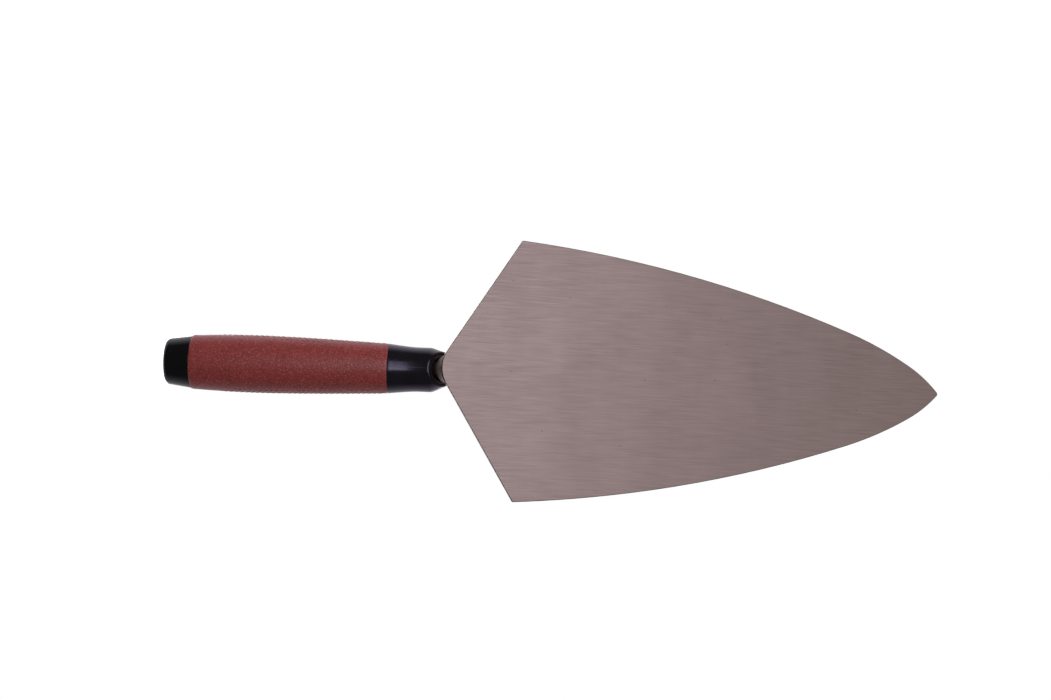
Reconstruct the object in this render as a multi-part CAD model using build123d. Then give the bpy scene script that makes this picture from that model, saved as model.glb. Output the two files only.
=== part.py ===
from build123d import *
import math
import os

# Brick trowel, Philadelphia pattern, 11 in blade. Millimetres, +Z up, +X from handle to tip.
# Everything is drawn in the heel frame: x = 0 at the rounded heel of the blade and
# z = 0 on the flat sole. The last step moves the whole assembly so that the origin is
# the bottom centre of its box.

# ---- blade ----
blade_length = 279.4
blade_half_width = 71.5
heel_radius = 17.0
heel_half_angle = 58.0
side_mid = (137.0, 57.6)
shoulder = (228.0, 31.4)
point_start = (262.7, 14.75)
heel_thickness = 2.4
tip_thickness = 1.2
corner_radius = 1.2
tip_radius = 1.6
tip_setback = 0.48
edge_break = 0.35

# ---- handle axis ----
handle_lift = 13.0
axis_height_at_heel = 23.5
mouth_station_x = 4.1

# ---- stations along the handle, measured from the butt ----
cap_length = 16.2
grip_lip_length = 3.0
belly_station = 53.6
waist_station = 97.9
collar_start = 125.3
flare_station = 131.6
barrel_station = 142.1
nose_start = 148.9
mouth_station = 155.3

# ---- handle radii ----
butt_radius = 12.1
butt_dome_radius = 32.0
butt_round = 3.2
cap_front_radius = 14.4
grip_rear_radius = 15.0
grip_lip_drop = 0.7
# How far in from the end, and how far down, the lip's arc passes.
grip_lip_mid = (1.0, 0.2)
grip_belly_radius = 15.75
grip_waist_radius = 14.7
collar_rear_radius = 13.65
flare_slope = -0.13
flare_radius = 12.95
collar_radius = 12.2
sleeve_wall = 3.2
rear_spigot_radius = 9.0
front_spigot_radius = 9.6
spigot_length = 10.0

# ---- slanted mouth of the collar ----
mouth_tilt = 50.0
mouth_dip = handle_lift + mouth_tilt
mouth_drop = 6.2
lip_radius = 9.5
lip_round = 0.7
lip_inner_radius = 8.2
lip_depth = 4.5
neck_way_depth = 14.5
nose_break_tilt = 18.0
ring_bore_radius = 6.2
ring_recess = 0.7
ring_height = 2.4
ring_round = 0.6

# ---- shank and tang ----
neck_bar_radius = 5.0
# Neck stations: distance from the mouth's plane, dip below the horizontal, half width
# across the trowel, half depth.
neck_profile = (
    (-1.5, 63.0, neck_bar_radius, neck_bar_radius),
    (0.0, 63.0, 5.3, 5.2),
    (1.3, 63.0, 6.6, 5.7),
    (3.2, 63.0, 7.7, 6.3),
    (7.0, 61.0, 8.0, 6.8),
    (15.0, 53.0, 8.1, 7.4),
    (21.0, 50.0, 8.1, 8.0),
)
bore_clearance = 0.5
bar_start = collar_start + 4.0
bend_round = 4.5
tang_end = 61.0
tang_front = collar_start + 5.0
tang_rear_width = 5.0
tang_front_width = 7.2
tang_corner = 0.8
socket_radius = 6.0
socket_gap = 3.0

# ---- foot on the blade ----
foot_rear_radius = 10.0
foot_rear_x = 12.5
foot_front_radius = 4.0
foot_front_x = 64.0
foot_rear_height = 9.0
foot_front_height = 3.6
foot_round = 1.4
weld_leg = 1.5
weld_throat = 0.2

# Longer than anything in the trowel, for cutting bodies.
ample = 400.0


def vec(angle):
    """Unit vector in the XZ plane, angle in degrees below +X."""
    a = math.radians(angle)
    return Vector(math.cos(a), 0, -math.sin(a))


axis_dir = vec(handle_lift)
mouth_axis_point = Vector(
    mouth_station_x,
    0,
    axis_height_at_heel - mouth_station_x * math.tan(math.radians(handle_lift)),
)
handle_frame = Plane(
    origin=mouth_axis_point - axis_dir * mouth_station,
    x_dir=axis_dir,
    z_dir=vec(handle_lift - 90),
)
# The mouth plane, in handle coordinates: x along the handle, z away from the blade.
mouth_plane = Plane(
    origin=(mouth_station, 0, -mouth_drop),
    x_dir=vec(mouth_tilt - 90),
    z_dir=vec(mouth_tilt),
)


def in_place(shape):
    """Moves a shape drawn in handle coordinates onto the trowel."""
    return handle_frame.location * shape


def turned(outline):
    """Solid of revolution about the handle's axis from a closed half outline."""
    return revolve(make_face(outline), Axis.X)


def wedge(x0, z0, x1, z1, below=0.0):
    """Everything under the slope from (x0, z0) to (x1, z1), down to the height below."""
    side = Polyline((x0, below), (x1, below), (x1, z1), (x0, z0), close=True)
    return extrude(Plane.XZ * make_face(side), ample / 2, both=True)


def slope_height(x):
    """Thickness of the blade at a distance x from the heel."""
    return heel_thickness + (tip_thickness - heel_thickness) * x / blade_length


def blade_outline():
    """Half outline from the heel arc to the tip, mirrored to a closed face."""
    a = math.radians(heel_half_angle)
    tangent_x = heel_radius * (1 - math.sin(a))
    tangent_y = heel_radius * math.cos(a)
    corner_x = tangent_x + (blade_half_width - tangent_y) / math.tan(a)
    heel = ThreePointArc((tangent_x, -tangent_y), (0, 0), (tangent_x, tangent_y))
    heel_edge = Line((tangent_x, tangent_y), (corner_x, blade_half_width))
    side = ThreePointArc((corner_x, blade_half_width), side_mid, shoulder)
    run_in = TangentArc(shoulder, point_start, tangent=side % 1)
    point = TangentArc(point_start, (blade_length + tip_setback, 0), tangent=run_in % 1)
    half = Curve() + [heel_edge, side, run_in, point]
    face = make_face(heel + half + mirror(half, Plane.XZ))
    corners = face.vertices().sort_by(Axis.X)
    outer = [v for v in corners if abs(abs(v.Y) - blade_half_width) < 0.01]
    face = fillet(outer, corner_radius)
    return fillet(face.vertices().sort_by(Axis.X)[-1], tip_radius)


def make_blade():
    """Flat-soled plate that thins from heel to tip, with all edges broken."""
    plate = extrude(blade_outline(), heel_thickness + 1)
    plate &= wedge(-1, slope_height(-1), blade_length + 1, slope_height(blade_length + 1))
    top = plate.faces().sort_by(Axis.Z)[-1]
    sole = plate.faces().sort_by(Axis.Z)[0]
    return fillet(top.edges() + sole.edges(), edge_break)


def grip_curve(wall):
    """Generatrix of the grip, wall millimetres under its surface."""
    return Spline(
        (cap_length + grip_lip_length, grip_rear_radius - wall),
        (belly_station, grip_belly_radius - wall),
        (waist_station, grip_waist_radius - wall),
        (collar_start, collar_rear_radius - wall),
    )


def make_end_cap():
    """Hard butt cap: domed end, rounded rim, taper, socket for the core's rear spigot."""
    blank = turned(
        Polyline((0, 0), (0, butt_radius), (cap_length, cap_front_radius), (cap_length, 0), close=True)
    )
    blank &= Pos(butt_dome_radius, 0, 0) * Sphere(butt_dome_radius)
    blank = fillet(blank.edges().filter_by(GeomType.CIRCLE).sort_by(Axis.X)[0], butt_round)
    socket = Pos(cap_length, 0, 0) * Rot(0, 90, 0) * Cylinder(
        rear_spigot_radius, spigot_length, align=(Align.CENTER, Align.CENTER, Align.MAX)
    )
    return in_place(blank - socket)


def make_handle_core():
    """Hard core under the grip, with a spigot at each end and a blind socket for the tang."""
    body_curve = grip_curve(sleeve_wall)
    rear = cap_length - spigot_length
    front = collar_start + spigot_length
    body = turned(
        Curve()
        + [
            Polyline(
                (rear, 0),
                (rear, rear_spigot_radius),
                (cap_length, rear_spigot_radius),
                (cap_length, grip_rear_radius - sleeve_wall),
                body_curve @ 0,
            ),
            body_curve,
            Polyline(
                body_curve @ 1,
                (collar_start, front_spigot_radius),
                (front, front_spigot_radius),
                (front, 0),
                (rear, 0),
            ),
        ]
    )
    return in_place(body - tang_socket())


def tang_socket():
    """Blind bore of the core, a little deeper than the tang."""
    depth = collar_start + spigot_length - tang_end + socket_gap
    return Pos(tang_end - socket_gap, 0, 0) * Rot(0, 90, 0) * Cylinder(
        socket_radius, depth, align=(Align.CENTER, Align.CENTER, Align.MIN)
    )


def make_grip_sleeve():
    """Soft sleeve: rounded lip at the cap, swelling belly, flush at the collar."""
    outer = grip_curve(0)
    inner = grip_curve(sleeve_wall)
    lip_in, lip_down = grip_lip_mid
    return in_place(
        turned(
            Curve()
            + [
                outer,
                ThreePointArc(
                    (cap_length + grip_lip_length, grip_rear_radius),
                    (cap_length + lip_in, grip_rear_radius - lip_down),
                    (cap_length, grip_rear_radius - grip_lip_drop),
                ),
                Polyline(
                    (cap_length, grip_rear_radius - grip_lip_drop),
                    (cap_length, grip_rear_radius - sleeve_wall),
                    inner @ 0,
                ),
                inner,
                Line(inner @ 1, outer @ 1),
            ]
        )
    )


def collar_barrel():
    """Turned part of the collar, run on past the nose break."""
    flare = Spline(
        (collar_start, collar_rear_radius),
        (flare_station, flare_radius),
        (barrel_station, collar_radius),
        tangents=((1, flare_slope), (1, 0)),
    )
    far = nose_start + collar_radius
    return turned(
        Curve()
        + [
            flare,
            Polyline(flare @ 1, (far, collar_radius), (far, 0), (collar_start, 0), flare @ 0),
        ]
    )


def nose_break():
    """Plane across the barrel where the nose starts to close in on the mouth."""
    return Plane(
        origin=(nose_start, 0, 0),
        x_dir=vec(nose_break_tilt - 90),
        z_dir=vec(nose_break_tilt),
    )


def make_front_collar():
    """Nosing whose round barrel closes to a slanted round mouth with a rolled lip."""
    cut = nose_break()
    barrel = split(collar_barrel(), bisect_by=cut, keep=Keep.BOTTOM)
    long_radius = collar_radius / math.cos(math.radians(nose_break_tilt))
    nose = loft([cut * Ellipse(long_radius, collar_radius), mouth_plane * Circle(lip_radius)])
    collar = barrel + nose
    rim = collar.edges().filter_by(GeomType.CIRCLE).sort_by(Axis.X)[-1]
    collar = fillet(rim, lip_round)
    mouth = Cylinder(lip_inner_radius, lip_depth, align=(Align.CENTER, Align.CENTER, Align.MAX))
    neck_way = Cylinder(
        neck_bar_radius + bore_clearance,
        neck_way_depth,
        align=(Align.CENTER, Align.CENTER, Align.MAX),
    )
    collar -= mouth_plane.location * (mouth + neck_way)
    spigot_way = Pos(collar_start, 0, 0) * Rot(0, 90, 0) * Cylinder(
        front_spigot_radius, spigot_length, align=(Align.CENTER, Align.CENTER, Align.MIN)
    )
    tang_way = Pos(collar_start, 0, 0) * Rot(0, 90, 0) * Cylinder(
        socket_radius,
        bend_station() - collar_start,
        align=(Align.CENTER, Align.CENTER, Align.MIN),
    )
    return in_place(collar - spigot_way - tang_way)


def bend_station():
    """Where the neck's line meets the handle's axis."""
    return mouth_station - mouth_drop / math.tan(math.radians(mouth_tilt))


def make_mouth_ring():
    """Steel ring pressed into the mouth around the neck, its rim rounded."""
    ring = Cylinder(lip_inner_radius, ring_height, align=(Align.CENTER, Align.CENTER, Align.MAX))
    ring -= Cylinder(ring_bore_radius, 3 * ring_height)
    ring = fillet(ring.edges().group_by(Axis.Z)[-1], ring_round)
    return in_place(mouth_plane.location * (Pos(0, 0, -ring_recess) * ring))


def neck():
    """Oval neck from the bend to the blade: flares at the mouth, then leans forward."""
    reach, dip, _, _ = neck_profile[0]
    point = mouth_centre() + vec(mouth_dip) * reach
    rings = []
    for distance, angle, half_width, half_depth in neck_profile:
        point = point + vec((angle + dip) / 2) * (distance - reach)
        plane = Plane(origin=point, x_dir=(0, 1, 0), z_dir=vec(angle))
        rings.append(plane * oval(half_width, half_depth))
        reach, dip = distance, angle
    return loft(rings)


def oval(half_width, half_depth):
    """Ellipse at least as wide as deep; a circle when the two are equal."""
    if half_width == half_depth:
        return Circle(half_width)
    return Ellipse(half_width, half_depth)


def mouth_centre():
    """Centre of the mouth in the heel frame."""
    return mouth_axis_point - vec(handle_lift - 90) * mouth_drop


def tang():
    """Bent bar inside the collar, drawn out to a square taper inside the core."""
    bend = Vector(bend_station(), 0, 0)
    outlet = Vector(mouth_station, 0, -mouth_drop) - vec(mouth_tilt) * -neck_profile[0][0]
    path = FilletPolyline((bar_start, 0, 0), bend, outlet, radius=bend_round)
    bar = sweep(Plane(origin=path @ 0, z_dir=(1, 0, 0)) * Circle(neck_bar_radius), path)
    tail = loft(
        [
            Plane(origin=(tang_end, 0, 0), z_dir=(1, 0, 0)) * RectangleRounded(
                tang_rear_width, tang_rear_width, tang_corner
            ),
            Plane(origin=(tang_front, 0, 0), z_dir=(1, 0, 0)) * RectangleRounded(
                tang_front_width, tang_front_width, tang_corner
            ),
        ]
    )
    return in_place(bar + tail)


def foot_outline(grow=0.0):
    """Teardrop plan of the foot: two circles and their common tangents."""
    rear = Pos(foot_rear_x, 0) * Circle(foot_rear_radius + grow)
    front = Pos(foot_front_x, 0) * Circle(foot_front_radius + grow)
    return make_hull(rear.edges() + front.edges())


def foot():
    """Forged wedge of the foot, high under the neck and thin towards the tip."""
    front_end = foot_front_x + foot_front_radius
    block = extrude(foot_outline(), foot_rear_height + 1)
    block &= wedge(0, foot_rear_height, front_end, foot_front_height)
    return fillet(block.faces().sort_by(Axis.Z)[-1].edges(), foot_round)


def make_shank(blade):
    """Foot, neck and tang as one forging that stands on the blade."""
    below = Pos(0, 0, -ample / 2) * Box(ample, ample, ample)
    return foot() + neck() + tang() - below - blade


def make_weld_bead(blade, shank):
    """Fillet weld round the foot: a sloping rim between the blade and the foot's side."""
    toe = Pos(0, 0, tip_thickness) * foot_outline(weld_leg)
    throat = Pos(0, 0, heel_thickness + weld_leg) * foot_outline(weld_throat)
    return loft([toe, throat]) - blade - shank


def solid_of(shape):
    """The largest solid of a shape, without stray slivers."""
    return shape.solids().sort_by(SortBy.VOLUME)[-1]


blade_solid = solid_of(make_blade())
shank_solid = solid_of(make_shank(blade_solid))
pieces = {
    "blade": blade_solid,
    "shank": shank_solid,
    "weld_bead": solid_of(make_weld_bead(blade_solid, shank_solid)),
    "mouth_ring": solid_of(make_mouth_ring()),
    "front_collar": solid_of(make_front_collar()),
    "handle_core": solid_of(make_handle_core()),
    "grip_sleeve": solid_of(make_grip_sleeve()),
    "end_cap": solid_of(make_end_cap()),
}
socket_fill = solid_of(in_place(tang_socket()))
pieces["tang_adhesive"] = solid_of(socket_fill - shank_solid)

whole = Compound(list(pieces.values())).bounding_box()
to_origin = Pos(-whole.center().X, 0, 0)
os.makedirs("parts", exist_ok=True)
for name, solid in pieces.items():
    moved = to_origin * solid
    export_step(moved, f"parts/{name}.step")
    box = moved.bounding_box()
    print(name, round(moved.volume), tuple(box.min), tuple(box.max))
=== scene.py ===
import math

import bmesh
import bpy
import numpy as np
from mathutils import Matrix, Vector, noise
from mathutils.bvhtree import BVHTree


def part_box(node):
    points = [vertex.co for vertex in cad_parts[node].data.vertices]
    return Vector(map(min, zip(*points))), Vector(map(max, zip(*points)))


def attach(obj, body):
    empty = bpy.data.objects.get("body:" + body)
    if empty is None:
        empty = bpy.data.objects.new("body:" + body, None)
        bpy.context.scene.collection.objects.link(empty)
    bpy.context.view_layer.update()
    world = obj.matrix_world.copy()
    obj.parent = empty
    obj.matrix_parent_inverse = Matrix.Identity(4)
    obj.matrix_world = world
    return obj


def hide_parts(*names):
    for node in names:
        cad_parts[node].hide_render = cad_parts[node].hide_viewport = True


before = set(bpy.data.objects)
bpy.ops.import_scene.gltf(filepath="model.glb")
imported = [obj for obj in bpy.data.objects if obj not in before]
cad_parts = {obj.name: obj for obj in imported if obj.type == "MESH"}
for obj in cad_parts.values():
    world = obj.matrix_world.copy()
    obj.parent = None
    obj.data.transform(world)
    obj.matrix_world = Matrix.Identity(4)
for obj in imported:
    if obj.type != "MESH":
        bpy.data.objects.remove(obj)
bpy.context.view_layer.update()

MM = 0.001
SCENE = bpy.context.scene

# ---- handle, as in the CAD ----
HANDLE_LIFT = math.radians(13.0)
MOUTH_X = 4.1 * MM
AXIS_HEIGHT_AT_HEEL = 23.5 * MM
CAP_LENGTH = 16.2 * MM
COLLAR_START = 125.3 * MM
BARREL_START = 142.1 * MM
NOSE_START = 148.9 * MM
MOUTH_STATION = 155.3 * MM
SLEEVE_WALL = 3.2 * MM
LIP_LENGTH = 3.0 * MM
LIP_DROP = 0.7 * MM
BUTT_RADIUS = 12.1 * MM
DOME_RADIUS = 32.0 * MM
CAP_FRONT_RADIUS = 14.4 * MM
REAR_SPIGOT_RADIUS = 9.0 * MM
FRONT_SPIGOT_RADIUS = 9.6 * MM
SPIGOT_LENGTH = 10.0 * MM
TANG_WAY_RADIUS = 6.0 * MM
TURNS = 128

# ---- slanted mouth of the collar, as in the CAD ----
MOUTH_TILT = math.radians(50.0)
MOUTH_DROP = 6.2 * MM
BREAK_TILT = math.radians(18.0)
LIP_RADIUS = 9.5 * MM
LIP_INNER_RADIUS = 8.2 * MM
LIP_DEPTH = 4.5 * MM
NECK_WAY_RADIUS = 5.5 * MM
RING_RADIUS = 8.15 * MM
RING_BORE_RADIUS = 6.2 * MM
RING_RECESS = 0.7 * MM
RING_HEIGHT = 2.4 * MM

ALONG = Vector((math.cos(HANDLE_LIFT), 0, -math.sin(HANDLE_LIFT)))
SIDE = Vector((0, 1, 0))
AWAY = Vector((math.sin(HANDLE_LIFT), 0, math.cos(HANDLE_LIFT)))

# ---- nubs on the two flanks of the grip ----
NUBS = {
    "Patch Length": 88 * MM,
    "Patch Width": 15 * MM,
    "Pitch Along": 2.8 * MM,
    "Pitch Across": 2.5 * MM,
    "Nub Length": 2.3 * MM,
    "Nub Width": 2.0 * MM,
    "Nub Height": 0.15 * MM,
    "Seed": 4,
}
PATCH_CENTRE = 78 * MM
PATCH_SQUARENESS = 2.6
PATCH_EDGE = 1.05
NUB_SIZES = (0.85, 1.1)
CLEAR_OF_GRIP = 30 * MM

# ---- foot and weld ----
FOOT_REAR = (12.5 * MM, 10.0 * MM)
FOOT_FRONT = (64.0 * MM, 4.0 * MM)
BLADE_THICK = 2.4 * MM
BLADE_THIN = 1.2 * MM
BLADE_LENGTH = 279.4 * MM
BEAD = {
    "Bead Radius": 1.15 * MM,
    "Ripple Pitch": 1.5 * MM,
    "Ripple Height": 0.16 * MM,
    "Wander": 0.25 * MM,
}
BEAD_STAND = 0.8 * MM

# ---- skin of the forging ----
SKIN_VOXEL = 0.6 * MM
SKIN_SWELLS = ((5 * MM, 0.14 * MM), (2 * MM, 0.05 * MM))
SEATED_HEIGHT = 3 * MM

# ---- mesh and material habits ----
JOIN_DISTANCE = 0.002 * MM
POLE_DISTANCE = 0.0005 * MM
SHARP_DEGREES = 35
ROW_TURN = 0.6


# ---------------------------------------------------------------- small tools


def linear(hex_code):
    """An sRGB hex colour as linear RGBA."""
    values = [int(hex_code[i : i + 2], 16) / 255 for i in (0, 2, 4)]
    return [v / 12.92 if v <= 0.04045 else ((v + 0.055) / 1.055) ** 2.4 for v in values] + [1.0]


def add(tree, kind, inputs=None, **settings):
    """Adds a node. inputs maps a socket's name or number to a value or to a socket that feeds it."""
    node = tree.nodes.new(kind)
    for name, value in settings.items():
        setattr(node, name, value)
    for key, value in (inputs or {}).items():
        if isinstance(value, bpy.types.NodeSocket):
            tree.links.new(value, node.inputs[key])
        else:
            node.inputs[key].default_value = value
    return node


def new_object(name, mesh):
    """Links a mesh to the scene as an object at the origin."""
    made = bpy.data.objects.new(name, mesh)
    SCENE.collection.objects.link(made)
    return made


def smooth(mesh):
    """Smooth shading, but for edges that turn sharply."""
    mesh.shade_smooth()
    mesh.set_sharp_from_angle(angle=math.radians(SHARP_DEGREES))


def finish_piece(piece, body, node):
    """Rides a piece on its body, in place of a CAD node, which is hidden."""
    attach(piece, body)
    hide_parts(node)


def evaluated_mesh(piece):
    """A plain mesh of a piece with its modifiers run."""
    bpy.context.view_layer.update()
    depsgraph = bpy.context.evaluated_depsgraph_get()
    return bpy.data.meshes.new_from_object(piece.evaluated_get(depsgraph))


def merged_copy(name, node):
    """A copy of a CAD node's mesh with its loose triangles joined."""
    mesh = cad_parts[node].data.copy()
    work = bmesh.new()
    work.from_mesh(mesh)
    bmesh.ops.remove_doubles(work, verts=work.verts, dist=JOIN_DISTANCE)
    work.to_mesh(mesh)
    work.free()
    return new_object(name, mesh)


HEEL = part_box("blade")[0].x


def butt_centre():
    """Centre of the handle's butt end in the row frame."""
    mouth = Vector((HEEL + MOUTH_X, 0, AXIS_HEIGHT_AT_HEEL - MOUTH_X * math.tan(HANDLE_LIFT)))
    return mouth - ALONG * MOUTH_STATION


BUTT = butt_centre()


def handle_matrix():
    """From handle coordinates, x from the butt and z away from the blade, to the row frame."""
    turn = Matrix((ALONG, SIDE, AWAY)).transposed().to_4x4()
    return Matrix.Translation(BUTT) @ turn


# ---------------------------------------------------------------- Geometry Nodes


def new_tree(name, sizes):
    """A Geometry Nodes tree with a Geometry input and named inputs: sizes maps name to socket type."""
    tree = bpy.data.node_groups.new(name, "GeometryNodeTree")
    tree.is_modifier = True
    face = tree.interface
    face.new_socket("Geometry", in_out="INPUT", socket_type="NodeSocketGeometry")
    for label, kind in sizes.items():
        face.new_socket(label, in_out="INPUT", socket_type=kind)
    face.new_socket("Material", in_out="INPUT", socket_type="NodeSocketMaterial")
    face.new_socket("Geometry", in_out="OUTPUT", socket_type="NodeSocketGeometry")
    return tree


def grow(name, mesh, tree, values):
    """Runs a tree on a mesh and returns the result as an object with a plain mesh."""
    host = new_object(name, mesh)
    modifier = host.modifiers.new(tree.name, "NODES")
    modifier.node_group = tree
    for item in tree.interface.items_tree:
        if item.in_out == "INPUT" and item.name in values:
            modifier[item.identifier] = values[item.name]
    made = evaluated_mesh(host)
    host.modifiers.remove(modifier)
    host.data = made
    return host


def nub_tree():
    """Sets rows of small oval nubs on both flanks of the sleeve that comes in."""
    sizes = {name: "NodeSocketFloat" for name in NUBS if name != "Seed"}
    sizes |= {"Seed": "NodeSocketInt", "Centre": "NodeSocketVector", "Turn": "NodeSocketVector"}
    sizes |= {"Across": "NodeSocketVector", "Along": "NodeSocketVector"}
    tree = new_tree("flank_nubs", sizes)
    given = add(tree, "NodeGroupInput").outputs

    def maths(operation, *values):
        return add(tree, "ShaderNodeMath", dict(enumerate(values)), operation=operation).outputs[0]

    columns = maths("FLOOR", maths("DIVIDE", given["Patch Length"], given["Pitch Along"]))
    rows = maths("FLOOR", maths("DIVIDE", given["Patch Width"], given["Pitch Across"]))
    grid = add(
        tree,
        "GeometryNodeMeshGrid",
        {
            "Size X": given["Patch Length"],
            "Size Y": given["Patch Width"],
            "Vertices X": columns,
            "Vertices Y": rows,
        },
    ).outputs["Mesh"]
    row = maths("MODULO", add(tree, "GeometryNodeInputIndex").outputs[0], rows)
    odd = maths("MODULO", row, 2.0)
    stagger = add(
        tree,
        "ShaderNodeCombineXYZ",
        {"X": maths("MULTIPLY", maths("MULTIPLY", odd, given["Pitch Along"]), 0.5)},
    ).outputs[0]
    grid = add(tree, "GeometryNodeSetPosition", {"Geometry": grid, "Offset": stagger}).outputs[0]
    place = add(
        tree,
        "ShaderNodeSeparateXYZ",
        {0: add(tree, "GeometryNodeInputPosition").outputs[0]},
    ).outputs
    reach_x = maths("DIVIDE", maths("MULTIPLY", place["X"], 2.0), given["Patch Length"])
    reach_y = maths("DIVIDE", maths("MULTIPLY", place["Y"], 2.0), given["Patch Width"])
    along_part = maths("POWER", maths("ABSOLUTE", reach_x), PATCH_SQUARENESS)
    reach = maths("ADD", along_part, maths("MULTIPLY", reach_y, reach_y))
    grid = add(
        tree,
        "GeometryNodeDeleteGeometry",
        {"Geometry": grid, "Selection": maths("GREATER_THAN", reach, PATCH_EDGE)},
        domain="POINT",
    ).outputs[0]
    nub = add(
        tree,
        "GeometryNodeMeshUVSphere",
        {"Segments": 10, "Rings": 6, "Radius": 1.0},
    ).outputs["Mesh"]
    size = add(
        tree,
        "ShaderNodeCombineXYZ",
        {
            "X": maths("MULTIPLY", given["Nub Length"], 0.5),
            "Y": maths("MULTIPLY", given["Nub Width"], 0.5),
            "Z": given["Nub Height"],
        },
    ).outputs[0]
    vary = add(
        tree,
        "FunctionNodeRandomValue",
        {2: NUB_SIZES[0], 3: NUB_SIZES[1], "Seed": given["Seed"]},
        data_type="FLOAT",
    ).outputs[1]
    size = add(tree, "ShaderNodeVectorMath", {0: size, "Scale": vary}, operation="SCALE").outputs[0]
    flanks = add(tree, "GeometryNodeJoinGeometry")
    for sign in (1, -1):
        stand = add(
            tree,
            "ShaderNodeVectorMath",
            {0: given["Across"], "Scale": sign * CLEAR_OF_GRIP},
            operation="SCALE",
        ).outputs[0]
        start = add(tree, "ShaderNodeVectorMath", {0: given["Centre"], 1: stand}).outputs[0]
        flank = add(
            tree,
            "GeometryNodeTransform",
            {"Geometry": grid, "Translation": start, "Rotation": given["Turn"]},
        ).outputs[0]
        inward = add(
            tree, "ShaderNodeVectorMath", {0: given["Across"], "Scale": -sign}, operation="SCALE"
        ).outputs[0]
        ray = add(
            tree,
            "GeometryNodeRaycast",
            {
                "Target Geometry": given["Geometry"],
                "Ray Direction": inward,
                "Ray Length": 2 * CLEAR_OF_GRIP,
            },
        ).outputs
        caught = add(tree, "GeometryNodeCaptureAttribute", {0: flank})
        caught.capture_items.new("VECTOR", "Normal")
        tree.links.new(ray["Hit Normal"], caught.inputs[1])
        flank = add(
            tree,
            "GeometryNodeSetPosition",
            {"Geometry": caught.outputs[0], "Position": ray["Hit Position"]},
        ).outputs[0]
        lengthwise = add(
            tree, "FunctionNodeAlignRotationToVector", {"Vector": given["Along"]}, axis="X"
        ).outputs[0]
        standing = add(
            tree,
            "FunctionNodeAlignRotationToVector",
            {"Rotation": lengthwise, "Vector": caught.outputs[1]},
            axis="Z",
            pivot_axis="X",
        ).outputs[0]
        flank = add(
            tree,
            "GeometryNodeInstanceOnPoints",
            {"Points": flank, "Instance": nub, "Rotation": standing, "Scale": size},
        ).outputs[0]
        tree.links.new(flank, flanks.inputs[0])
    nubs = add(tree, "GeometryNodeRealizeInstances", {0: flanks.outputs[0]}).outputs[0]
    nubs = add(tree, "GeometryNodeSetShadeSmooth", {"Geometry": nubs}).outputs[0]
    both = add(tree, "GeometryNodeJoinGeometry")
    tree.links.new(nubs, both.inputs[0])
    tree.links.new(given["Geometry"], both.inputs[0])
    result = add(
        tree, "GeometryNodeSetMaterial", {"Geometry": both.outputs[0], "Material": given["Material"]}
    ).outputs[0]
    add(tree, "NodeGroupOutput", {0: result})
    return tree


def bead_tree():
    """Runs a rippled weld bead along the path that comes in."""
    tree = new_tree("weld_bead", {name: "NodeSocketFloat" for name in BEAD})
    given = add(tree, "NodeGroupInput").outputs

    def maths(operation, *values):
        return add(tree, "ShaderNodeMath", dict(enumerate(values)), operation=operation).outputs[0]

    path = add(tree, "GeometryNodeMeshToCurve", {0: given["Geometry"]}).outputs[0]
    step = maths("DIVIDE", given["Ripple Pitch"], 7.0)
    path = add(
        tree, "GeometryNodeResampleCurve", {"Curve": path, "Length": step}, mode="LENGTH"
    ).outputs[0]
    run = add(tree, "GeometryNodeSplineParameter").outputs["Length"]
    caught = add(tree, "GeometryNodeCaptureAttribute", {0: path})
    caught.capture_items.new("FLOAT", "Run")
    tree.links.new(run, caught.inputs[1])
    section = add(
        tree, "GeometryNodeCurvePrimitiveCircle", {"Resolution": 18, "Radius": given["Bead Radius"]}
    ).outputs[0]
    bead = add(
        tree, "GeometryNodeCurveToMesh", {"Curve": caught.outputs[0], "Profile Curve": section}
    ).outputs[0]
    height = add(
        tree,
        "ShaderNodeSeparateXYZ",
        {0: add(tree, "GeometryNodeInputNormal").outputs[0]},
    ).outputs["Z"]
    lag = maths("MULTIPLY", maths("MULTIPLY", height, height), 1.6)
    turn = maths("DIVIDE", maths("MULTIPLY", caught.outputs[1], math.tau), given["Ripple Pitch"])
    swing = maths("SINE", maths("MULTIPLY", maths("ADD", turn, lag), 0.5))
    wave = maths("POWER", maths("ABSOLUTE", swing), 0.6)
    ripple = maths("MULTIPLY", wave, given["Ripple Height"])
    drift = add(
        tree, "ShaderNodeTexNoise", {"Scale": 220.0, "Detail": 1.0}, noise_dimensions="3D"
    ).outputs[0]
    drift = maths("MULTIPLY", maths("SUBTRACT", drift, 0.5), given["Wander"])
    push = add(
        tree,
        "ShaderNodeVectorMath",
        {0: add(tree, "GeometryNodeInputNormal").outputs[0], "Scale": maths("ADD", ripple, drift)},
        operation="SCALE",
    ).outputs[0]
    bead = add(tree, "GeometryNodeSetPosition", {"Geometry": bead, "Offset": push}).outputs[0]
    bead = add(tree, "GeometryNodeSetShadeSmooth", {"Geometry": bead}).outputs[0]
    bead = add(tree, "GeometryNodeRealizeInstances", {0: bead}).outputs[0]
    bead = add(
        tree, "GeometryNodeSetMaterial", {"Geometry": bead, "Material": given["Material"]}
    ).outputs[0]
    add(tree, "NodeGroupOutput", {0: bead})
    return tree


# ---------------------------------------------------------------- materials


def new_material(name, **values):
    """A Principled material with constant socket values set on the shader itself."""
    material = bpy.data.materials.new(name)
    material.use_nodes = True
    tree = material.node_tree
    tree.nodes.clear()
    shader = add(tree, "ShaderNodeBsdfPrincipled")
    for label, value in values.items():
        shader.inputs[label.replace("_", " ").title().replace("Ior", "IOR")].default_value = value
    add(tree, "ShaderNodeOutputMaterial", {"Surface": shader.outputs[0]})
    return material, tree, shader


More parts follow.
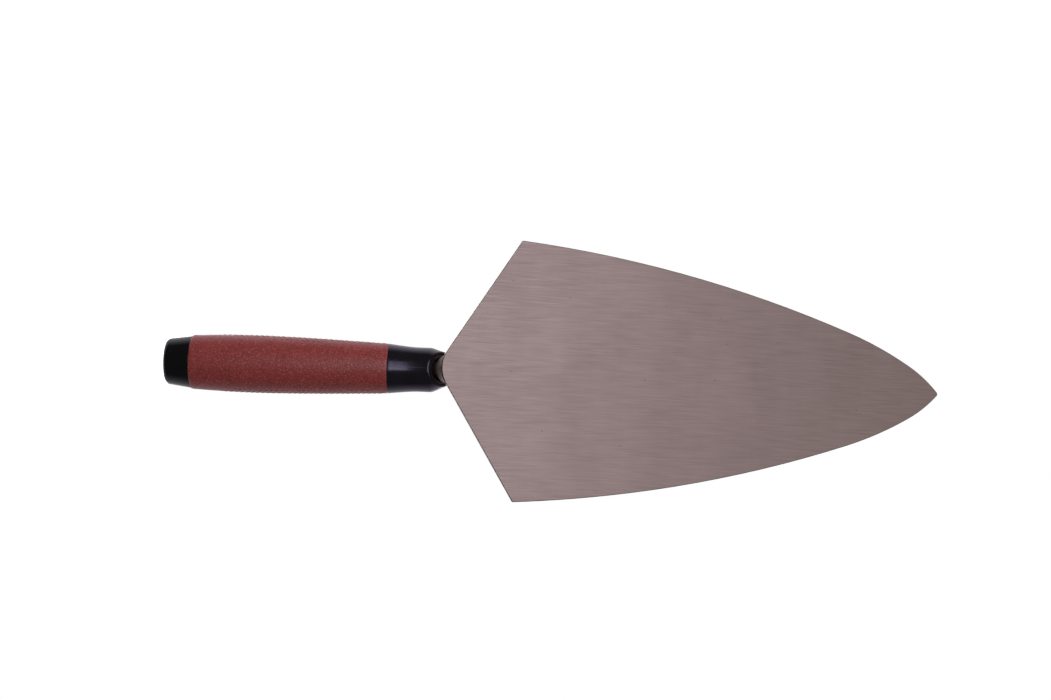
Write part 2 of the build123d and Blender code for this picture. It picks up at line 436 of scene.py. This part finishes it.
def grains(tree, size, lift=0.0):
    """Object coordinates counted in grains of a size in mm, along the handle if lift is its angle.

    The counted coordinates are turned, so that the rows of the noise don't line up with the piece.
    """
    place = add(tree, "ShaderNodeTexCoord").outputs["Object"]
    turned = add(tree, "ShaderNodeMapping", {"Vector": place, "Rotation": (0, lift, 0)}).outputs[0]
    return add(
        tree,
        "ShaderNodeMapping",
        {"Vector": turned, "Scale": [1000 / s for s in size], "Rotation": (0, 0, ROW_TURN)},
    ).outputs[0]


def ranged(tree, value, low, high, to_low=0.0, to_high=1.0):
    """A value spread from one range to another, held at its ends."""
    return add(
        tree, "ShaderNodeMapRange", {0: value, 1: low, 2: high, 3: to_low, 4: to_high}
    ).outputs[0]


def blended(tree, factor, first, second):
    """A colour between two others, each a hex code or a socket."""
    ends = [linear(c) if isinstance(c, str) else c for c in (first, second)]
    return add(
        tree, "ShaderNodeMix", {0: factor, 6: ends[0], 7: ends[1]}, data_type="RGBA"
    ).outputs[2]


def summed(tree, *terms):
    """The sum of (value, share) terms."""
    total = 0.0
    for value, share in terms:
        total = add(
            tree, "ShaderNodeMath", {0: value, 1: share, 2: total}, operation="MULTIPLY_ADD"
        ).outputs[0]
    return total


def speckle(tree, vector, detail=2.0):
    """Smooth noise, one feature to a grain."""
    return add(tree, "ShaderNodeTexNoise", {"Vector": vector, "Scale": 1.0, "Detail": detail}).outputs[0]


def raise_surface(tree, shader, height, depth, strength=1.0):
    """Bump of a depth in mm."""
    bump = add(
        tree, "ShaderNodeBump", {"Height": height, "Distance": depth * MM, "Strength": strength}
    )
    tree.links.new(bump.outputs[0], shader.inputs["Normal"])


def ground_steel():
    """High-carbon steel ground lengthwise on a belt and clear lacquered.

    The eye sees fine long lines, a soft cloudy sheen and a few tiny pits.
    """
    material, tree, shader = new_material("ground_carbon_steel", metallic=1.0)
    # belt lines are about 0.1 mm wide; drawn at 0.5 mm so that they show
    lines = speckle(tree, grains(tree, (20, 0.5, 0.5)), 4.0)
    streaks = speckle(tree, grains(tree, (28, 1.8, 1.8)), 3.0)
    clouds = speckle(tree, grains(tree, (34, 48, 40)), 3.0)
    chatter = speckle(tree, grains(tree, (5, 30, 30)), 2.0)
    tone = summed(tree, (lines, 0.6), (streaks, 0.14), (clouds, 0.22), (chatter, 0.04))
    colour = blended(tree, ranged(tree, tone, 0.3, 0.7), "7A6965", "8E7C78")
    cells = add(
        tree,
        "ShaderNodeTexVoronoi",
        {"Vector": grains(tree, (44, 44, 44)), "Scale": 1.0},
        voronoi_dimensions="2D",
    ).outputs
    pit = ranged(tree, cells["Distance"], 0.009, 0.004)
    colour = blended(tree, pit, colour, "5A4C48")
    normal = add(tree, "ShaderNodeNewGeometry").outputs["Normal"]
    flat = add(
        tree,
        "ShaderNodeMath",
        {0: add(tree, "ShaderNodeSeparateXYZ", {0: normal}).outputs["Z"]},
        operation="ABSOLUTE",
    ).outputs[0]
    # painted shade: where the normal turns off the flat faces, at the broken edges, the colour darkens
    # towards 3F3533 to stand in for the dark line that the edges reflect
    colour = blended(tree, ranged(tree, flat, 0.97, 0.6, 0.0, 0.75), colour, "3F3533")
    tree.links.new(colour, shader.inputs["Base Color"])
    tree.links.new(ranged(tree, tone, 0.3, 0.7, 0.44, 0.36), shader.inputs["Roughness"])
    height = summed(tree, (lines, 0.8), (streaks, 0.4), (pit, -1.5))
    raise_surface(tree, shader, height, 0.05, 0.35)
    return material


def forged_steel():
    """Drop-forged and shot-blasted steel: dull pale brown-grey, dimpled, brighter on the highs."""
    material, tree, shader = new_material("forged_steel", metallic=1.0)
    dimples = speckle(tree, grains(tree, (2.4, 2.4, 2.4)), 3.0)
    grit = speckle(tree, grains(tree, (0.5, 0.5, 0.5)), 2.0)
    scale = speckle(tree, grains(tree, (9, 9, 9)), 4.0)
    tone = summed(tree, (dimples, 0.35), (grit, 0.25), (scale, 0.4))
    tree.links.new(
        blended(tree, ranged(tree, tone, 0.35, 0.65), "8A7A70", "B2A49B"), shader.inputs["Base Color"]
    )
    tree.links.new(ranged(tree, tone, 0.35, 0.65, 0.6, 0.42), shader.inputs["Roughness"])
    raise_surface(tree, shader, summed(tree, (dimples, 0.7), (grit, 0.3)), 0.18, 0.5)
    return material


def weld_steel():
    """Mild steel weld metal, brushed off after welding: grey with straw and blue heat tints."""
    material, tree, shader = new_material("weld_metal", metallic=1.0)
    tint = speckle(tree, grains(tree, (5, 5, 5)), 3.0)
    soot = speckle(tree, grains(tree, (1.1, 1.1, 1.1)), 3.0)
    colour = blended(tree, ranged(tree, tint, 0.35, 0.65), "6D6662", "93826C")
    colour = blended(tree, ranged(tree, soot, 0.52, 0.72), colour, "4A4A52")
    tree.links.new(colour, shader.inputs["Base Color"])
    tree.links.new(ranged(tree, soot, 0.3, 0.7, 0.34, 0.6), shader.inputs["Roughness"])
    raise_surface(tree, shader, soot, 0.08, 0.5)
    return material


def turned_steel():
    """Turned steel ring, coloured a dull dark grey as painted shade for the mouth it sits in, with tool
    marks too fine to count.
    """
    material, tree, shader = new_material("turned_steel", metallic=1.0)
    marks = speckle(tree, grains(tree, (0.6, 0.6, 0.6)), 3.0)
    dull = speckle(tree, grains(tree, (3, 3, 3)), 2.0)
    # painted shade: the ring's colour is held dark to stand in for the shade inside the mouth
    tree.links.new(
        blended(tree, ranged(tree, dull, 0.3, 0.7), "4E4B4F", "727074"), shader.inputs["Base Color"]
    )
    tree.links.new(ranged(tree, marks, 0.3, 0.7, 0.28, 0.42), shader.inputs["Roughness"])
    raise_surface(tree, shader, marks, 0.03, 0.4)
    return material


def satin_nylon():
    """Glass-filled nylon moulded in a spark-eroded tool: satin black, fine grain, a parting line."""
    material, tree, shader = new_material(
        "satin_black_nylon", ior=1.53, specular_ior_level=0.8, specular_tint=linear("F0E0FF")
    )
    grain = speckle(tree, grains(tree, (0.45, 0.45, 0.45)), 2.0)
    cloud = speckle(tree, grains(tree, (7, 7, 7)), 3.0)
    scuff = speckle(tree, grains(tree, (14, 0.8, 0.8), HANDLE_LIFT), 2.0)
    place = add(tree, "ShaderNodeTexCoord").outputs["Object"]
    off_centre = add(
        tree,
        "ShaderNodeMath",
        {0: add(tree, "ShaderNodeSeparateXYZ", {0: place}).outputs["Y"]},
        operation="ABSOLUTE",
    ).outputs[0]
    # the flash left by the two mould halves is about 0.2 mm wide
    flash = ranged(tree, off_centre, 0.32 * MM, 0.1 * MM)
    colour = blended(tree, ranged(tree, cloud, 0.3, 0.7), "0F0D10", "181519")
    colour = blended(tree, ranged(tree, scuff, 0.62, 0.78, 0.0, 0.3), colour, "3A373E")
    colour = blended(tree, flash, colour, "0C0B0D")
    tree.links.new(colour, shader.inputs["Base Color"])
    tree.links.new(
        summed(tree, (cloud, 0.06), (grain, 0.03), (scuff, 0.04), (flash, 0.1), (1.0, 0.12)),
        shader.inputs["Roughness"],
    )
    raise_surface(tree, shader, summed(tree, (grain, 0.25), (flash, -0.9)), 0.05, 0.5)
    return material


def gloss_abs():
    """Polished injection-moulded ABS: deep black, mirror-like but for handling scratches."""
    material, tree, shader = new_material("gloss_black_abs", ior=1.5)
    waves = speckle(tree, grains(tree, (6, 6, 6)), 2.0)
    hair = speckle(tree, grains(tree, (0.25, 9, 9), HANDLE_LIFT), 2.0)
    rub = speckle(tree, grains(tree, (2.2, 2.2, 2.2)), 4.0)
    colour = blended(tree, ranged(tree, rub, 0.6, 0.8), "0B0A0B", "1D1A1C")
    tree.links.new(colour, shader.inputs["Base Color"])
    tree.links.new(
        summed(tree, (waves, 0.06), (ranged(tree, hair, 0.6, 0.8), 0.12), (rub, 0.08), (1.0, 0.09)),
        shader.inputs["Roughness"],
    )
    raise_surface(tree, shader, summed(tree, (waves, 1.0), (hair, 0.12)), 0.05, 0.35)
    return material


def flecked_rubber():
    """Thermoplastic rubber moulded with pale flecks: matt red-brown with a fine leathery grain."""
    material, tree, shader = new_material("flecked_soft_rubber", ior=1.5, specular_ior_level=0.62)
    mottle = speckle(tree, grains(tree, (3.2, 2.2, 2.2), HANDLE_LIFT), 4.0)
    patches = speckle(tree, grains(tree, (16, 12, 12), HANDLE_LIFT), 3.0)
    pebbles = add(
        tree, "ShaderNodeTexVoronoi", {"Vector": grains(tree, (0.75, 0.75, 0.75)), "Scale": 1.0}
    ).outputs["Distance"]
    # flecks are slivers about 0.3 mm wide; drawn twice as wide so that they show
    flecks = speckle(tree, grains(tree, (0.95, 0.65, 0.65), HANDLE_LIFT), 1.5)
    tone = summed(tree, (mottle, 0.6), (patches, 0.4))
    colour = blended(tree, ranged(tree, tone, 0.34, 0.66), "9E3A36", "B44843")
    fleck = ranged(tree, flecks, 0.53, 0.67, 0.0, 0.5)
    colour = blended(tree, fleck, colour, "D88C82")
    # painted shade: the grooves between the pebbles, where the bump is low, are darkened towards 6E2B29
    colour = blended(tree, ranged(tree, pebbles, 0.55, 0.8, 0.0, 0.35), colour, "6E2B29")
    tree.links.new(colour, shader.inputs["Base Color"])
    tree.links.new(ranged(tree, tone, 0.3, 0.7, 0.41, 0.33), shader.inputs["Roughness"])
    raise_surface(
        tree, shader, summed(tree, (pebbles, -0.8), (mottle, 0.5), (fleck, 0.3)), 0.16, 0.6
    )
    return material


def core_plastic():
    """Unfilled polypropylene core, hidden in the handle: dull dark grey with flow marks."""
    material, tree, shader = new_material("polypropylene_core", ior=1.49)
    flow = speckle(tree, grains(tree, (22, 3, 3), HANDLE_LIFT), 3.0)
    tree.links.new(blended(tree, flow, "1C1C1E", "2C2C2F"), shader.inputs["Base Color"])
    tree.links.new(ranged(tree, flow, 0.3, 0.7, 0.45, 0.6), shader.inputs["Roughness"])
    raise_surface(tree, shader, flow, 0.05, 0.4)
    return material


def cured_epoxy():
    """Amber epoxy round the tang, hidden: slightly cloudy with small bubbles."""
    material, tree, shader = new_material("cured_epoxy", ior=1.55)
    cloud = speckle(tree, grains(tree, (4, 4, 4)), 3.0)
    tree.links.new(blended(tree, cloud, "9C8550", "C7B17A"), shader.inputs["Base Color"])
    tree.links.new(ranged(tree, cloud, 0.3, 0.7, 0.2, 0.4), shader.inputs["Roughness"])
    raise_surface(tree, shader, cloud, 0.1, 0.3)
    return material


# ---------------------------------------------------------------- pieces


def turned_radius(node, start, end, degree):
    """Outer radius of a turned CAD node as a smooth function of the distance from the butt."""
    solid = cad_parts[node].data
    tree = BVHTree.FromPolygons([v.co for v in solid.vertices], [p.vertices for p in solid.polygons])
    stations = np.linspace(start, end, 14)
    radii = []
    for station in stations:
        centre = BUTT + ALONG * station
        hits = []
        for k in range(12):
            angle = math.tau * k / 12 + 0.1
            out = SIDE * math.cos(angle) + AWAY * math.sin(angle)
            spot = tree.ray_cast(centre + out * 40 * MM, -out)[0]
            hits.append((spot - centre).length)
        radii.append(sum(hits) / len(hits))
    return np.polynomial.Polynomial.fit(stations, radii, degree)


def rounded(keys, steps=6):
    """Line through key points, each given with the reach over which its corner is eased."""
    line = []
    for k, (here, reach) in enumerate(keys):
        if not reach:
            line.append(here)
            continue
        before, after = keys[k - 1][0], keys[(k + 1) % len(keys)][0]
        first = here + (before - here).normalized() * reach
        last = here + (after - here).normalized() * reach
        for t in np.linspace(0, 1, steps + 1):
            line.append(first * (1 - t) ** 2 + here * 2 * t * (1 - t) + last * t**2)
    return line


def sleeve_outline(radius):
    """Closed half outline of the sleeve: rounded lip, belly, parting groove, inner wall."""
    start, end = CAP_LENGTH, COLLAR_START
    outline = []
    for k in range(9):
        t = k / 8
        station = start + LIP_LENGTH * (1 - math.cos(t * math.pi / 2))
        drop = LIP_DROP * (1 - math.sin(t * math.pi / 2))
        outline.append((station, radius(start + LIP_LENGTH) - drop))
    body = np.arange(start + LIP_LENGTH + 0.8 * MM, end - 0.8 * MM, 0.8 * MM)
    outline += [(s, radius(s)) for s in body]
    outline += [(end - 0.5 * MM, radius(end)), (end - 0.2 * MM, radius(end) - 0.08 * MM)]
    outline += [(end, radius(end) - 0.25 * MM), (end, radius(end) - SLEEVE_WALL)]
    inner = np.linspace(end - 4 * MM, start + 4 * MM, 24)
    outline += [(s, radius(max(s, start + LIP_LENGTH)) - SLEEVE_WALL) for s in inner]
    outline.append((start, radius(start + LIP_LENGTH) - SLEEVE_WALL))
    return outline


def skin(name, rings, matrix, closed=True):
    """Mesh over a row of rings; closed joins the last ring to the first."""
    work = bmesh.new()
    loops = [[work.verts.new(point) for point in ring] for ring in rings]
    following = loops[1:] + loops[:1] if closed else loops[1:]
    for loop, beyond in zip(loops, following):
        for k, vert in enumerate(loop):
            m = (k + 1) % len(loop)
            work.faces.new((vert, loop[m], beyond[m], beyond[k]))
    # the points of a ring on the axis become one pole
    bmesh.ops.remove_doubles(work, verts=work.verts, dist=POLE_DISTANCE)
    bmesh.ops.recalc_face_normals(work, faces=work.faces)
    work.transform(matrix)
    mesh = bpy.data.meshes.new(name)
    work.to_mesh(mesh)
    work.free()
    smooth(mesh)
    return mesh


def round_point(station, radius, angle):
    """A point at a radius and an angle about the x axis."""
    return Vector((station, radius * math.cos(angle), radius * math.sin(angle)))


def lathe(name, outline, matrix, closed=True):
    """Turns a half outline of (station, radius) points about the x axis of a matrix."""
    turns = np.linspace(0, math.tau, TURNS, endpoint=False)
    rings = [[round_point(x, r, a) for a in turns] for x, r in outline]
    return skin(name, rings, matrix, closed)


def make_grip(material):
    """Soft sleeve with its flank nubs."""
    radius = turned_radius("grip_sleeve", CAP_LENGTH + LIP_LENGTH + 1 * MM, COLLAR_START - 0.5 * MM, 6)
    mesh = lathe("grip", sleeve_outline(radius), handle_matrix())
    turn = Matrix((ALONG, AWAY, ALONG.cross(AWAY))).transposed().to_euler()
    values = NUBS | {
        "Centre": BUTT + ALONG * PATCH_CENTRE,
        "Turn": turn,
        "Across": SIDE,
        "Along": ALONG,
        "Material": material,
    }
    piece = grow("grip_skin", mesh, nub_tree(), values)
    finish_piece(piece, "root", "grip_sleeve")


def make_cap(material):
    """Hard butt cap: domed end, eased rims, socket for the core's spigot."""
    corner_radius = BUTT_RADIUS + 0.4 * MM
    line = []
    for radius in np.linspace(0, 0.8 * corner_radius, 14):
        line.append((Vector((dome_depth(radius), radius)), 0))
    line += [
        (Vector((dome_depth(corner_radius), corner_radius)), 2.0 * MM),
        (Vector((CAP_LENGTH, CAP_FRONT_RADIUS)), 0.3 * MM),
        (Vector((CAP_LENGTH, REAR_SPIGOT_RADIUS)), 0),
        (Vector((CAP_LENGTH - SPIGOT_LENGTH, REAR_SPIGOT_RADIUS)), 0),
        (Vector((CAP_LENGTH - SPIGOT_LENGTH, 0)), 0),
    ]
    mesh = lathe("cap", rounded(line, 10), handle_matrix(), closed=False)
    mesh.materials.append(material)
    finish_piece(new_object("cap_gloss", mesh), "root", "end_cap")


def dome_depth(radius):
    """How far the butt's dome has fallen back at a radius."""
    return DOME_RADIUS - math.sqrt(DOME_RADIUS**2 - radius**2)


def mouth_matrix():
    """From mouth coordinates, x out of the mouth along the neck, to handle coordinates."""
    centre = Matrix.Translation((MOUTH_STATION, 0, -MOUTH_DROP))
    return centre @ Matrix.Rotation(MOUTH_TILT, 4, "Y")


def collar_line(radius, angle):
    """Closed line round the collar's wall at one angle about the handle's axis."""
    slant = mouth_matrix()
    barrel_radius = radius(BARREL_START)

    def at_mouth(depth, reach_out):
        return slant @ round_point(-depth, reach_out, angle)

    keys = [(round_point(COLLAR_START, radius(COLLAR_START + 0.3 * MM), angle), 0.2 * MM)]
    for station in np.linspace(COLLAR_START + 1 * MM, BARREL_START, 16):
        keys.append((round_point(station, radius(station), angle), 0))
    turn = NOSE_START + barrel_radius * math.sin(angle) * math.tan(BREAK_TILT)
    spigot_end = COLLAR_START + SPIGOT_LENGTH
    keys += [
        (round_point(turn, barrel_radius, angle), 1.1 * MM),
        (at_mouth(0, LIP_RADIUS), 0.6 * MM),
        (at_mouth(0, LIP_INNER_RADIUS), 0.35 * MM),
        (at_mouth(LIP_DEPTH, LIP_INNER_RADIUS), 0),
        (at_mouth(LIP_DEPTH, NECK_WAY_RADIUS), 0),
        (at_mouth(LIP_DEPTH + 1.5 * MM, NECK_WAY_RADIUS), 0),
        (round_point(spigot_end + 8 * MM, TANG_WAY_RADIUS, angle), 0),
        (round_point(spigot_end, TANG_WAY_RADIUS, angle), 0),
        (round_point(spigot_end, FRONT_SPIGOT_RADIUS, angle), 0),
        (round_point(COLLAR_START, FRONT_SPIGOT_RADIUS, angle), 0),
    ]
    return rounded(keys)


def make_collar(material):
    """Nosing: flared barrel, an eased break, a nose closing to the slanted lipped mouth."""
    radius = turned_radius("front_collar", COLLAR_START + 0.4 * MM, BARREL_START, 5)
    turns = np.linspace(0, math.tau, TURNS, endpoint=False)
    lines = [collar_line(radius, angle) for angle in turns]
    mesh = skin("collar", list(zip(*lines)), handle_matrix())
    mesh.materials.append(material)
    finish_piece(new_object("collar_nosing", mesh), "root", "front_collar")


def make_ring(material):
    """Steel ring in the mouth, its outer face eased towards the neck."""
    top, bottom = -RING_RECESS, -RING_RECESS - RING_HEIGHT
    line = rounded(
        [
            (Vector((bottom, RING_RADIUS)), 0),
            (Vector((top, RING_RADIUS)), 0.3 * MM),
            (Vector((top, RING_BORE_RADIUS)), 0.6 * MM),
            (Vector((bottom, RING_BORE_RADIUS)), 0),
        ]
    )
    mesh = lathe("ring", line, handle_matrix() @ mouth_matrix())
    mesh.materials.append(material)
    finish_piece(new_object("ring_turned", mesh), "root", "mouth_ring")


def make_blade(material):
    """Ground plate: the CAD plate joined up, flat faces kept flat up to the broken edges."""
    piece = merged_copy("blade_plate", "blade")
    piece.data.shade_smooth()
    even = piece.modifiers.new("Even", "WEIGHTED_NORMAL")
    even.weight = 100
    piece.data = evaluated_mesh(piece)
    piece.modifiers.clear()
    piece.data.materials.clear()
    piece.data.materials.append(material)
    finish_piece(piece, "root", "blade")


def foot_path():
    """Centre line of the weld: the foot's teardrop outline, a little outside it, on the blade."""
    (rear_x, rear_r), (front_x, front_r) = FOOT_REAR, FOOT_FRONT
    tangent = math.acos((rear_r - front_r) / (front_x - rear_x))
    points = []
    for k in range(41):
        a = tangent + (math.tau - 2 * tangent) * k / 40
        r = rear_r + BEAD_STAND
        points.append((rear_x + r * math.cos(a), r * math.sin(a)))
    for k in range(17):
        a = -tangent + 2 * tangent * k / 16
        r = front_r + BEAD_STAND
        points.append((front_x + r * math.cos(a), r * math.sin(a)))
    mesh = bpy.data.meshes.new("foot_path")
    count = len(points)
    places = []
    for x, y in points:
        top = BLADE_THICK + (BLADE_THIN - BLADE_THICK) * x / BLADE_LENGTH
        places.append((HEEL + x, y, top + 0.25 * MM))
    mesh.from_pydata(places, [(k, (k + 1) % count) for k in range(count)], [])
    return mesh


def make_weld(material):
    """Rippled fillet weld round the foot."""
    piece = grow("foot_weld", foot_path(), bead_tree(), BEAD | {"Material": material})
    finish_piece(piece, "root", "weld_bead")


def make_shank(material):
    """Forging: the CAD shank with its corners run together and its skin left uneven."""
    piece = merged_copy("forged_shank", "shank")
    remesh = piece.modifiers.new("Remesh", "REMESH")
    remesh.mode = "VOXEL"
    remesh.voxel_size = SKIN_VOXEL
    relax = piece.modifiers.new("Relax", "SMOOTH")
    relax.factor = 0.5
    relax.iterations = 10
    mesh = evaluated_mesh(piece)
    piece.modifiers.clear()
    piece.data = mesh
    for vertex in mesh.vertices:
        if vertex.co.z > SEATED_HEIGHT:
            swell = sum(noise.noise(vertex.co / grain) * depth for grain, depth in SKIN_SWELLS)
            vertex.co += vertex.normal * swell
    mesh.shade_smooth()
    mesh.materials.clear()
    mesh.materials.append(material)
    finish_piece(piece, "root", "shank")


def dress(node, material):
    """Gives a CAD node that stays in the model its material."""
    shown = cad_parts[node]
    shown.data.materials.clear()
    shown.data.materials.append(material)


# ---------------------------------------------------------------- stage, light, camera


def make_floor():
    """Pale floor under the sole. It is open from below, so the sole can be seen and lit."""
    half = 20.0
    low = -0.2 * MM
    mesh = bpy.data.meshes.new("floor")
    corners = [(-half, -half, low), (half, -half, low), (half, half, low), (-half, half, low)]
    mesh.from_pydata(corners, [], [(0, 1, 2, 3)])
    floor = new_object("floor", mesh)
    material = bpy.data.materials.new("pale_paper")
    material.use_nodes = True
    tree = material.node_tree
    tree.nodes.clear()
    paper = add(tree, "ShaderNodeBsdfDiffuse", {"Color": linear("F2F1EF")}).outputs[0]
    clear = add(tree, "ShaderNodeBsdfTransparent").outputs[0]
    under = add(tree, "ShaderNodeNewGeometry").outputs["Backfacing"]
    surface = add(tree, "ShaderNodeMixShader", {0: under, 1: paper, 2: clear}).outputs[0]
    add(tree, "ShaderNodeOutputMaterial", {"Surface": surface})
    mesh.materials.append(material)
    floor.visible_diffuse = False
    floor.visible_glossy = False
    floor.visible_shadow = False


def make_world():
    """White room above the floor, dark studio below it; plain white where the camera sees it."""
    world = bpy.data.worlds.new("studio")
    world.use_nodes = True
    tree = world.node_tree
    tree.nodes.clear()
    way = add(tree, "ShaderNodeTexCoord").outputs["Generated"]
    parts = add(tree, "ShaderNodeSeparateXYZ", {0: way}).outputs
    wall = ranged(tree, parts["Y"], -1.0, 1.0, 0.7, 0.3)
    # beyond the tip the white reaches further down
    reach_down = ranged(tree, parts["X"], 0.1, 0.6, 0.0, 0.5)
    rise = summed(tree, (parts["Z"], 1.0), (reach_down, 1.0))
    ceiling = ranged(tree, parts["Z"], 0.3, 0.75, 0.0, 0.22)
    glow = summed(tree, (ranged(tree, rise, -0.05, 0.35, 0.08, wall), 1.0), (ceiling, 1.0))
    light = add(tree, "ShaderNodeBackground", {"Color": linear("FBF7FF"), "Strength": glow}).outputs[0]
    seen = add(tree, "ShaderNodeBackground", {"Color": linear("FFFFFF"), "Strength": 1.0}).outputs[0]
    ray = add(tree, "ShaderNodeLightPath").outputs["Is Camera Ray"]
    both = add(tree, "ShaderNodeMixShader", {0: ray, 1: light, 2: seen}).outputs[0]
    add(tree, "ShaderNodeOutputWorld", {"Surface": both})
    SCENE.world = world


def softbox(name, place, target, size, watts, colour="FFFFFF"):
    """A rectangular soft light that the camera doesn't see."""
    data = bpy.data.lights.new(name, "AREA")
    data.shape = "RECTANGLE"
    data.size, data.size_y = size
    data.energy = watts
    data.color = linear(colour)[:3]
    light = bpy.data.objects.new(name, data)
    SCENE.collection.objects.link(light)
    light.location = place
    light.rotation_euler = (Vector(target) - Vector(place)).to_track_quat("-Z", "Y").to_euler()
    light.visible_camera = False
    return light


def make_camera():
    """Long lens under the sole: the heel nearer than the tip, one flank a little nearer."""
    tilt, roll, turn = (math.radians(a) for a in (9.8, -5.9, -3.29))
    heel_right, heel_up, heel_away = -45.2 * MM, -8.9 * MM, 1580.3 * MM
    lengthwise = Vector((math.cos(tilt), 0, -math.sin(tilt)))
    across = Vector((0, 1, 0))
    facing = Vector((math.sin(tilt), 0, math.cos(tilt)))
    flank = across * math.cos(roll) + facing * math.sin(roll)
    sole = facing * math.cos(roll) - across * math.sin(roll)
    turned = Matrix.Rotation(turn, 3, "Z")
    axes = Matrix((turned @ lengthwise, -(turned @ flank), -(turned @ sole)))
    # rows of axes are the row frame's axes as the camera sees them
    right, up, back = (Vector(v) for v in axes.transposed())
    data = bpy.data.cameras.new("camera")
    data.lens = 100.0
    data.sensor_width = 36.0
    camera = bpy.data.objects.new("camera", data)
    SCENE.collection.objects.link(camera)
    heel = Vector((HEEL, 0, 0))
    place = heel - right * heel_right - up * heel_up + back * heel_away
    camera.matrix_world = Matrix.Translation(place) @ Matrix((right, up, back)).transposed().to_4x4()
    SCENE.camera = camera


def light_stage():
    """Two broad lights under the sole, a fill for one flank, and two lights for the top side."""
    softbox("sole_key", (0.0, -0.26, -1.5), (-0.03, 0, 0), (0.46, 1.2), 6.8, "F0F5FF")
    softbox("sole_fill", (0.8, 0.0, -1.4), (0.1, 0, 0), (1.1, 1.4), 3.65)
    flank_fill = softbox("flank_fill", (-0.4, -1.0, -0.6), (-0.12, 0, 0), (1.0, 0.8), 1.6)
    # it shades the matt grip but leaves no highlight on the gloss parts
    flank_fill.visible_glossy = False
    softbox("top_key", (-0.45, -0.25, 1.55), (0, 0, 0), (1.0, 0.8), 9.0)
    softbox("top_rim", (0.7, 0.3, 1.3), (0, 0, 0), (0.8, 0.6), 5.0)


SCENE.view_settings.view_transform = "Standard"
make_grip(flecked_rubber())
make_weld(weld_steel())
make_shank(forged_steel())
make_blade(ground_steel())
make_ring(turned_steel())
make_collar(satin_nylon())
make_cap(gloss_abs())
dress("handle_core", core_plastic())
dress("tang_adhesive", cured_epoxy())
make_floor()
make_world()
light_stage()
make_camera()
